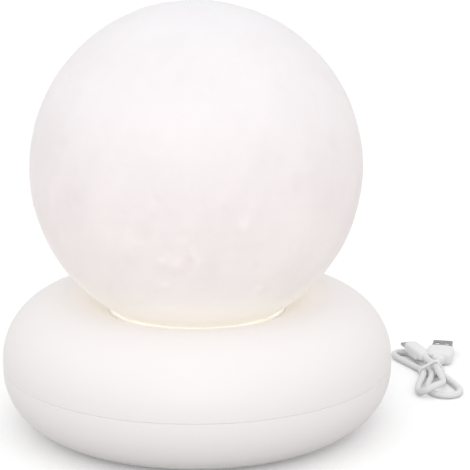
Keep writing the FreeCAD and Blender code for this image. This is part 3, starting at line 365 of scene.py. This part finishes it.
BRUSH_SPACING = 0.25
BRUSH_LENGTH = 12.0
BRUSH_DEPTH = 0.01
BRUSH_TONES = (0.80, 1.12)
GRAIN_TONES = (0.92, 1.05)
METAL_SHINE_SPREAD = 0.2


def dress(material, *names):
    """Give nodes of the construction model their finish."""
    for name in names:
        for slot in nodes[name].material_slots:
            slot.material = material


def metal(name, colour, roughness, grain, depth, length=None, turn=0.0, tones=GRAIN_TONES,
          strength=0.5):
    """Metal with marks that are grain wide, length long and depth deep, all in mm.

    Marks without a length are an even grain.  A turn gives a piece a pattern of its own.
    """
    material = blank(name)
    spot = add(material, "ShaderNodeTexCoord")
    turned = add(material, "ShaderNodeMapping",
                 {"Vector": (spot, "Object"), "Rotation": (0, 0, -turn),
                  "Scale": (1 / ((length or grain) * MM), 1 / (grain * MM), 1 / (grain * MM))})
    marks = add(material, "ShaderNodeTexNoise",
                {"Vector": (turned, 0), "Scale": 1.0, "Detail": 4.0})
    tone = add(material, "ShaderNodeMapRange",
               {"Value": (marks, "Fac"), "From Min": NOISE_LOW, "From Max": NOISE_HIGH,
                "To Min": tones[0], "To Max": tones[1]})
    colour_here = add(material, "ShaderNodeVectorMath",
                      {0: linear(colour)[:3], "Scale": (tone, "Result")}, operation="SCALE")
    shine = add(material, "ShaderNodeMapRange",
                {"Value": (marks, "Fac"), "From Min": NOISE_LOW, "From Max": NOISE_HIGH,
                 "To Min": roughness * (1 - METAL_SHINE_SPREAD),
                 "To Max": roughness * (1 + METAL_SHINE_SPREAD)})
    bump = add(material, "ShaderNodeBump", {"Height": (marks, "Fac"), "Strength": strength,
                                            "Distance": depth * MM})
    surface = add(material, "ShaderNodeBsdfPrincipled",
                  {"Base Color": (colour_here, 0), "Metallic": 1.0,
                   "Roughness": (shine, "Result"), "Normal": (bump, "Normal")})
    add(material, "ShaderNodeOutputMaterial", {"Surface": (surface, 0)})
    return material


# Brushed stainless steel: a grey, streaky shine, darker on the large plug.
for steel_name, colour, roughness, lean, node_name in (
        ("brushed_stainless_a", "#9C9C9E", 0.36, USB_A_LEAN, "usb_a_shell"),
        ("brushed_stainless_micro", "#A8A8AA", 0.32, MICRO_LEAN, "micro_usb_tip")):
    dress(metal(steel_name, colour, roughness, BRUSH_SPACING, BRUSH_DEPTH, BRUSH_LENGTH, lean,
                BRUSH_TONES, strength=0.6), node_name)
# Moulded plastic: plain white, half matt.
dress(plastic("moulded_white_tongue", "#F4F4F4", 0.45, 0.5, 0.01), "usb_a_tongue")
# Gold plating on spring bronze: small warm glints.
dress(metal("gilt_strip", "#D9B36A", 0.25, 0.4, 0.004), "usb_a_contacts")

# ------------------------------------------------------------------ cable tie
# A flat band of extruded soft plastic round the four runs of cord, drawn tight.  It has the
# cord's white and a slightly smoother face.

dress(plastic("extruded_soft_band", "#F4F4F5", 0.40, 0.5, 0.02), "cable_tie")

# ------------------------------------------------------------------ base housing
# Two injection-moulded shells of white ABS, spark-eroded to a fine matt.  They meet at the fine
# groove round the widest part.

# Eroded ABS: a soft, even white with no gloss.  The grain is 0.9 mm, coarser than the real
# 0.1 mm, so that it shows at all.
matt_white = plastic("matt_moulded_abs", "#FCF8F7", 0.50, 0.9, 0.012, shade=0.985)

# The groove between the shells is painted darker than its depth alone renders: partly painted
# shade in the groove, partly a little dust.
SEAM_HEIGHT = 35.4
SEAM_REACH = 0.5
SEAM_SHADE = 0.92
spot = add(matt_white, "ShaderNodeTexCoord")
parts = add(matt_white, "ShaderNodeSeparateXYZ", {0: (spot, "Object")})
above = add(matt_white, "ShaderNodeMath", {0: (parts, "Z"), 1: SEAM_HEIGHT * MM},
            operation="SUBTRACT")
away_from_seam = add(matt_white, "ShaderNodeMath", {0: (above, 0)}, operation="ABSOLUTE")
seam_shade_and_dust = add(matt_white, "ShaderNodeMapRange",
           {"Value": (away_from_seam, 0), "From Min": SEAM_REACH * MM / 2,
            "From Max": SEAM_REACH * MM, "To Min": SEAM_SHADE, "To Max": 1.0})
surface = matt_white.node_tree.nodes["Principled BSDF"]
unshaded_colour = surface.inputs["Base Color"].links[0].from_node
shaded_dusty_colour = add(matt_white, "ShaderNodeVectorMath",
            {0: (unshaded_colour, 2), "Scale": (seam_shade_and_dust, "Result")}, operation="SCALE")
matt_white.node_tree.links.new(shaded_dusty_colour.outputs[0], surface.inputs["Base Color"])

# The dish is painted warmer and lighter round its mouth: a painted glow in the shell's surface
# stands for the lamp's light falling there. The painted light fades out between two distances from
# the axis.
LIT_RADIUS = 60.0
UNLIT_RADIUS = 72.0
DISH_FOOT = 60.0
DISH_PAINTED_GLOW = 0.048
DISH_PAINTED_LIGHT = "#FFFACC"
flat_place = add(matt_white, "ShaderNodeVectorMath",
                 {0: (spot, "Object"), 1: (1, 1, 0)}, operation="MULTIPLY")
from_axis = add(matt_white, "ShaderNodeVectorMath", {0: (flat_place, 0)}, operation="LENGTH")
near_mouth = add(matt_white, "ShaderNodeMapRange",
                 {"Value": (from_axis, "Value"), "From Min": LIT_RADIUS * MM,
                  "From Max": UNLIT_RADIUS * MM, "To Min": DISH_PAINTED_GLOW, "To Max": 0.0},
                 interpolation_type="SMOOTHSTEP")
on_dish = add(matt_white, "ShaderNodeMath", {0: (parts, "Z"), 1: DISH_FOOT * MM},
              operation="GREATER_THAN")
painted_dish_glow = add(matt_white, "ShaderNodeMath", {0: (near_mouth, "Result"), 1: (on_dish, 0)},
           operation="MULTIPLY")
# Painted light: the warm glow is set as the shell's emission.
painted_warm_light = add(matt_white, "ShaderNodeVectorMath",
                 {0: linear(DISH_PAINTED_LIGHT)[:3], "Scale": (painted_dish_glow, 0)}, operation="SCALE")
matt_white.node_tree.links.new(painted_warm_light.outputs[0], surface.inputs["Emission Color"])
surface.inputs["Emission Strength"].default_value = 1.0
dress(matt_white, "upper_shell", "lower_shell")
# Moulded rubber: light grey and dull, with a coarse skin.
dress(plastic("moulded_rubber", "#C9C9C8", 0.75, 0.6, 0.05), "rubber_feet")
# Zinc-plated steel: a cool, even, soft shine.
dress(metal("zinc_plated_steel", "#B9BABD", 0.30, 0.5, 0.01),
      "housing_screws", "led_board_screws", "diffuser_screws", "board_screws", "holder_screws")

# ------------------------------------------------------------------ rear controls
# Power button, its switch and stem, the charging port and the clear rod that brings the
# charging light to the back panel.

# Finer moulded ABS: smoother than the shells, so that the button has a faint sheen.
dress(plastic("satin_button_plastic", "#F3F0EF", 0.32, 0.6, 0.01),
      "power_button", "switch_plunger")
# Polished acrylic: clear, with the dark of the base behind it.
dress(plastic("clear_acrylic", "#F2F6F7", 0.12, 1.5, 0.004,
              **{"Transmission Weight": 0.85, "IOR": 1.49}), "charge_light_pipe")
# Tinned steel, folded: a plain grey shine round the port.
dress(metal("tinned_steel", "#A9ABAE", 0.33, 0.4, 0.01), "usb_socket")
# Moulded plastic of the switch body: black, half matt.
dress(plastic("black_switch_plastic", "#1C1C1E", 0.42, 0.5, 0.01), "tact_switch")

# ------------------------------------------------------------------ electronics
# Glass-fibre board with a green lacquer, black moulded chips, brown ceramic capacitors, a
# ferrite choke, white nylon headers and a red charging light.

WEAVE_SCALE = 625.0
WEAVE_SHADE = 0.8


def lacquered_board(name, colour):
    """Lacquer over glass cloth; its threads, 0.5 mm apart, show faintly in the lacquer."""
    material = blank(name)
    spot = add(material, "ShaderNodeTexCoord")
    weave_x, weave_y = [
        add(material, "ShaderNodeTexWave",
            {"Vector": (spot, "Object"), "Scale": WEAVE_SCALE, "Distortion": 0.4},
            bands_direction=threads) for threads in ("X", "Y")]
    weave = add(material, "ShaderNodeMath", {0: (weave_x, "Fac"), 1: (weave_y, "Fac")},
                operation="MULTIPLY")
    darker = (*[part * WEAVE_SHADE for part in linear(colour)[:3]], 1.0)
    tone = add(material, "ShaderNodeMix", {0: (weave, 0), 6: darker, 7: linear(colour)},
               data_type="RGBA")
    bump = add(material, "ShaderNodeBump", {"Height": (weave, 0), "Strength": 0.3,
                                            "Distance": 0.01 * MM})
    surface = add(material, "ShaderNodeBsdfPrincipled",
                  {"Base Color": (tone, 2), "Roughness": 0.28, "Normal": (bump, "Normal")})
    add(material, "ShaderNodeOutputMaterial", {"Surface": (surface, 0)})
    return material


# Green lacquer: glossy, with the cloth just showing through.
dress(lacquered_board("green_lacquered_board", "#1E5B3B"), "main_board")
# Moulded epoxy: charcoal and matt.
dress(plastic("moulded_epoxy", "#222224", 0.5, 0.3, 0.008), "control_chips")
# Fired ceramic: tan, a little glossy.
dress(plastic("fired_ceramic", "#A98B66", 0.35, 0.3, 0.004), "capacitors")
# Sintered ferrite: dark grey and dull, rough as fired clay.
dress(plastic("sintered_ferrite", "#4A4A4D", 0.6, 0.3, 0.02), "power_inductor")
# Moulded nylon: a warm, half-matt white.
dress(plastic("moulded_nylon", "#ECEAE2", 0.40, 0.5, 0.008), "board_headers", "led_connector")
# Cast epoxy lens: deep red and glossy.
dress(plastic("red_lens", "#C8382E", 0.18, 0.8, 0.004), "charge_led")

# ------------------------------------------------------------------ battery
# One round cell in a black moulded tray, with nickel strips at its ends and soldered leads.

# Moulded ABS: black, half matt.
dress(plastic("black_abs_tray", "#26272A", 0.48, 0.7, 0.012), "battery_holder")
# Shrunk sleeve: blue and glossy, faintly wavy.
dress(plastic("blue_shrink_sleeve", "#3E78B4", 0.22, 2.5, 0.015), "battery_cell")
# Rolled nickel: a yellowish grey shine.
dress(metal("nickel_strip", "#C3BFB4", 0.28, 0.4, 0.01), "battery_tabs")
# Extruded wire sleeves: satin red, black and white.
dress(plastic("red_wire_sleeve", "#B9312B", 0.35, 0.6, 0.01), "battery_lead_red")
dress(plastic("black_wire_sleeve", "#202022", 0.35, 0.6, 0.01), "battery_lead_black")
dress(plastic("white_wire_sleeve", "#E6E6E4", 0.35, 0.6, 0.01), "led_harness")

# ------------------------------------------------------------------ light source
# White-lacquered metal board with seven warm chips under a milky dome.

# White lacquer: glossy, so that it throws the light back up.
dress(lacquered_board("white_lacquered_board", "#EDEDEA"), "led_board")
# Phosphor under clear resin: warm yellow, and lit.
dress(plastic("warm_phosphor", "#F1D36B", 0.35, 0.6, 0.01,
              **{"Emission Color": linear("#FFE2B0"), "Emission Strength": 2.0}), "led_chips")
# Milky polypropylene, moulded: satin, and light spreads inside it.
dress(plastic("milky_polypropylene", "#F3F0EA", 0.35, 1.5, 0.01,
              **{"Subsurface Weight": 0.4, "Subsurface Scale": 0.003}), "led_diffuser")

# ------------------------------------------------------------------ seat ring
# Soft translucent silicone that the globe sits in. A glow is painted on it for the lamp's light,
# strongest at its crest, so it shows as a thin bright line under the globe.

RING_SIDE_GLOW, RING_CREST_GLOW = 0.09, 0.22
RING_DULL_HEIGHT, RING_LIT_HEIGHT = 65.2, 66.4
RING_PAINTED_LIGHT = "#FFFDF8"
# Moulded silicone: milky white and satin, and light spreads inside it.
silicone = plastic("translucent_silicone", "#F8F6F3", 0.45, 1.2, 0.006,
                   **{"Subsurface Weight": 0.5, "Subsurface Scale": 0.004,
                      "Emission Strength": 1.0})
spot = add(silicone, "ShaderNodeTexCoord")
parts = add(silicone, "ShaderNodeSeparateXYZ", {0: (spot, "Object")})
# The painted light is stronger at the crest, next to the globe, than at the ring's outer side.
crest = add(silicone, "ShaderNodeMapRange",
            {"Value": (parts, "Z"), "From Min": RING_DULL_HEIGHT * MM,
             "From Max": RING_LIT_HEIGHT * MM, "To Min": RING_SIDE_GLOW,
             "To Max": RING_CREST_GLOW})
painted_crest_light = add(silicone, "ShaderNodeVectorMath",
                  {0: linear(RING_PAINTED_LIGHT)[:3], "Scale": (crest, "Result")}, operation="SCALE")
surface = silicone.node_tree.nodes["Principled BSDF"]
silicone.node_tree.links.new(painted_crest_light.outputs[0], surface.inputs["Emission Color"])
dress(silicone, "seat_ring")

# ------------------------------------------------------------------ globe
# Blown shell of milky plastic, 2.4 mm thick and open at the bottom, with the hills, plains and
# pits of a moon up to about half a millimetre high or deep.  A collar is glued in its mouth.

GLOBE_RADIUS = 90.0
GLOBE_WALL = 2.4
GLOBE_FOOT, GLOBE_TOP = [corner.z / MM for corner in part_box("moon_globe")]
GLOBE_MIDDLE = GLOBE_TOP - GLOBE_RADIUS
GLOBE_ROUNDS = 7
# Round pits of many sizes, few of them large.  A pit's depth is a share of its radius, up to
# DEEPEST mm.  The height of its rim is a share of its depth, and it ends PIT_REACH radii out.
PIT_SEED = 11
PIT_COUNT = 420
SMALLEST_PIT = 1.8
LARGEST_PIT = 8.0
PIT_SLOPE = 1.9
PIT_DEPTH = 0.028
PIT_REACH = 2.5
RIM_SHARE = 0.45
RIM_WIDTH = 0.28
DEEPEST = 0.14
# Length and height of the soft hills, made of waves of roughly that length.
HILLS = ((46.0, 0.14), (21.0, 0.08), (9.0, 0.05), (4.5, 0.03))
HILL_WAVES = 14
SHORTEST_WAVE, LONGEST_WAVE = 0.7, 1.5
# Below the middle the relief dies out between two distances from the axis, above the ring.
RELIEF_ENDS = 58.0
RELIEF_STARTS = 70.0
# A mark is a bell shape that has fallen to a quarter of its height at its radius.
MARK_FALL = 1.4
# The plainest marks on the front: degrees to the right, degrees up, radius and height in mm.
MARKS = (
    (15.5, -6.7, 3.8, 0.62), (18.4, -0.9, 2.2, 0.30), (17.0, -3.4, 1.8, 0.22),
    (13.6, -9.4, 2.4, -0.22), (18.0, -8.0, 2.0, -0.22),
    (-11.8, -19.0, 2.8, 0.46), (-7.3, -20.6, 3.4, 0.52), (-9.6, -17.0, 2.2, 0.26),
    (-6.0, -18.6, 2.4, 0.30), (-12.4, -22.6, 2.2, -0.24), (-9.0, -24.6, 2.8, -0.30),
    (-5.2, -24.2, 2.2, -0.26), (-1.9, -14.4, 1.9, 0.58), (-1.0, -16.6, 1.9, 0.58),
    (0.4, -19.0, 2.2, 0.52), (0.2, -21.4, 1.8, 0.36), (-2.6, -19.6, 2.0, -0.34),
    (-14.2, -0.5, 2.8, 0.38), (-13.0, 2.2, 1.8, -0.28), (8.0, 2.3, 3.0, 0.38),
    (9.0, -1.6, 2.2, -0.34), (-12.3, -28.9, 2.4, 0.50), (25.0, -32.8, 2.4, 0.42),
    (29.0, -18.0, 2.0, -0.24), (31.0, -15.5, 2.2, 0.16), (12.0, -17.0, 2.6, 0.24),
    (22.0, -14.6, 2.4, -0.22), (44.1, 44.3, 3.6, 0.32), (40.0, 39.0, 2.4, 0.26),
    (-53.0, 37.2, 4.0, 0.34), (-33.5, 18.4, 2.6, 0.24), (-29.2, 14.3, 2.0, 0.20),
    (34.5, 2.9, 5.0, -0.26), (-41.9, -1.2, 4.6, -0.30), (56.0, 12.6, 6.0, -0.30),
    (21.5, -22.1, 3.2, -0.26), (-24.5, -20.7, 4.2, -0.26), (-30.0, -12.0, 3.4, 0.28),
)


def smooth_field(places, size, draw):
    """A gentle field of waves about that many mm long, from about -1 to 1."""
    field = np.zeros(len(places))
    for _ in range(HILL_WAVES):
        way = draw.normal(size=3)
        way /= np.linalg.norm(way)
        length = size * draw.uniform(SHORTEST_WAVE, LONGEST_WAVE)
        field += np.sin(places @ way * 2 * math.pi / length + draw.uniform(0, 2 * math.pi))
    return field / math.sqrt(HILL_WAVES)


def moon_relief(places):
    """Height in mm over the sphere, at points given in mm from its middle."""
    draw = np.random.default_rng(PIT_SEED)
    height = np.zeros(len(places))
    for size, rise in HILLS:
        height += rise * smooth_field(places, size, draw)
    ways = places / np.linalg.norm(places, axis=1)[:, None]
    rarest = 1 - (SMALLEST_PIT / LARGEST_PIT) ** PIT_SLOPE
    for _ in range(PIT_COUNT):
        middle = draw.normal(size=3)
        middle /= np.linalg.norm(middle)
        radius = SMALLEST_PIT * (1 - draw.uniform() * rarest) ** (-1 / PIT_SLOPE)
        depth = min(PIT_DEPTH * radius, DEEPEST)
        near = ways @ middle > math.cos(PIT_REACH * radius / GLOBE_RADIUS)
        way_out = np.arccos(np.clip(ways[near] @ middle, -1, 1)) * GLOBE_RADIUS / radius
        bowl = np.where(way_out < 1, way_out ** 2 - 1, 0)
        rim = RIM_SHARE * np.exp(-((way_out - 1) / RIM_WIDTH) ** 2)
        height[near] += depth * (bowl + rim)
    for right, above, radius, rise in MARKS:
        turn, lean = math.radians(right), math.radians(above)
        middle = np.array((math.sin(turn) * math.cos(lean), -math.cos(turn) * math.cos(lean),
                           math.sin(lean)))
        way_out = np.arccos(np.clip(ways @ middle, -1, 1)) * GLOBE_RADIUS / radius
        height += rise * np.exp(-MARK_FALL * way_out ** 2)
    return height


globe_shape = bmesh.new()
bmesh.ops.create_icosphere(globe_shape, subdivisions=GLOBE_ROUNDS, radius=GLOBE_RADIUS)
bmesh.ops.bisect_plane(globe_shape, geom=[*globe_shape.verts, *globe_shape.edges,
                                          *globe_shape.faces],
                       plane_co=(0, 0, GLOBE_FOOT - GLOBE_MIDDLE), plane_no=(0, 0, 1),
                       clear_inner=True)
places = np.array([vertex.co for vertex in globe_shape.verts])
fade = np.clip((np.hypot(places[:, 0], places[:, 1]) - RELIEF_ENDS)
               / (RELIEF_STARTS - RELIEF_ENDS), 0, 1)
fade = np.where(places[:, 2] > 0, 1, fade * fade * (3 - 2 * fade))
relief = globe_shape.verts.layers.float.new("relief")
for vertex, rise in zip(globe_shape.verts, moon_relief(places) * fade):
    vertex.co += vertex.co.normalized() * rise
    vertex[relief] = rise
bmesh.ops.translate(globe_shape, vec=(0, 0, GLOBE_MIDDLE), verts=globe_shape.verts)
bmesh.ops.scale(globe_shape, vec=(MM, MM, MM), verts=globe_shape.verts)
globe = made("globe_skin", globe_shape)
wall = globe.modifiers.new("wall", "SOLIDIFY")
wall.thickness = GLOBE_WALL * MM
wall.offset = -1

# Milky blown polyethylene, cool white at the top. Its colour is painted warmer towards the mouth
# for the lamp's warm light. The lamp is taken to be on at a low step: a glow is painted into the
# wall, most near the mouth, where it also lifts the shade between globe and base. The steps go
# from the mouth, 0, to the top, 1.
COLOUR_AND_WARM_LIGHT_STEPS = ((0.0, "#F3EEE7"), (0.08, "#F5F1EB"), (0.20, "#F4EDEB"), (0.50, "#F5EDED"),
                (0.75, "#F6F0F2"), (1.0, "#F3F1F3"))
PAINTED_GLOW_STEPS = ((0.0, "#888880"), (0.03, "#7F817A"), (0.05, "#737270"), (0.08, "#656564"),
              (0.14, "#5C5B59"), (0.30, "#5F5B5A"), (0.60, "#4A4848"), (1.0, "#303030"))
DAPPLE_SIZE = 14.0
DAPPLE_SHADE = 0.985
GRIT_SIZE = 2.2
GRIT_DEPTH = 0.10


def fill_steps(ramp, steps):
    """Set a colour ramp to steps of a place from 0 to 1 and a colour."""
    for place, _ in steps[1:-1]:
        ramp.elements.new(place)
    for element, (place, code) in zip(ramp.elements, steps):
        element.position = place
        element.color = linear(code)


globe_plastic = blank("milky_blown_plastic")
spot = add(globe_plastic, "ShaderNodeTexCoord")
parts = add(globe_plastic, "ShaderNodeSeparateXYZ", {0: (spot, "Object")})
up = add(globe_plastic, "ShaderNodeMapRange",
         {"Value": (parts, "Z"), "From Min": GLOBE_FOOT * MM, "From Max": GLOBE_TOP * MM})
shades = add(globe_plastic, "ShaderNodeValToRGB", {0: (up, "Result")})
fill_steps(shades.color_ramp, COLOUR_AND_WARM_LIGHT_STEPS)
dapple = add(globe_plastic, "ShaderNodeTexNoise",
             {"Vector": (spot, "Object"), "Scale": 1 / (DAPPLE_SIZE * MM), "Detail": 5.0,
              "Roughness": 0.6})
veil = add(globe_plastic, "ShaderNodeMapRange",
           {"Value": (dapple, "Fac"), "From Min": 0.35, "From Max": 0.65,
            "To Min": DAPPLE_SHADE, "To Max": 1.0})
tinted = add(globe_plastic, "ShaderNodeVectorMath",
             {0: (shades, "Color"), "Scale": (veil, "Result")}, operation="SCALE")
painted_glows = add(globe_plastic, "ShaderNodeValToRGB", {0: (up, "Result")})
fill_steps(painted_glows.color_ramp, PAINTED_GLOW_STEPS)
# Painted highlights on the relief: the painted glow is raised on the hills and lowered in the
# pits: a height in mm, and the share of the glow there.
PIT_AT, PIT_GLOW = -0.30, 0.80
HILL_AT, HILL_GLOW = 0.50, 1.55
hills = add(globe_plastic, "ShaderNodeAttribute", attribute_name="relief")
painted_hill_highlight = add(globe_plastic, "ShaderNodeMapRange",
               {"Value": (hills, "Fac"), "From Min": PIT_AT, "From Max": HILL_AT,
                "To Min": PIT_GLOW, "To Max": HILL_GLOW})
painted_glow_here = add(globe_plastic, "ShaderNodeVectorMath",
                {0: (painted_glows, "Color"), "Scale": (painted_hill_highlight, "Result")}, operation="SCALE")
grit = add(globe_plastic, "ShaderNodeTexNoise",
           {"Vector": (spot, "Object"), "Scale": 1 / (GRIT_SIZE * MM), "Detail": 4.0})
bump = add(globe_plastic, "ShaderNodeBump", {"Height": (grit, "Fac"), "Strength": 1.0,
                                             "Distance": GRIT_DEPTH * MM})
surface = add(globe_plastic, "ShaderNodeBsdfPrincipled",
              {"Base Color": (tinted, 0), "Roughness": 0.55, "Normal": (bump, "Normal"),
               "Subsurface Weight": 0.3, "Subsurface Radius": (1.0, 0.9, 0.8),
               "Subsurface Scale": 0.003,
               "Emission Color": (painted_glow_here, 0), "Emission Strength": 1.0})
add(globe_plastic, "ShaderNodeOutputMaterial", {"Surface": (surface, 0)})
globe.data.materials.append(globe_plastic)
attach(globe, "globe")
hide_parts("moon_globe")

# Moulded ABS of the glued collar: a warm, half-matt white.
dress(plastic("moulded_white_collar", "#EFEDE8", 0.42, 0.8, 0.01), "globe_collar")

bpy.context.scene.view_settings.view_transform = "Standard"
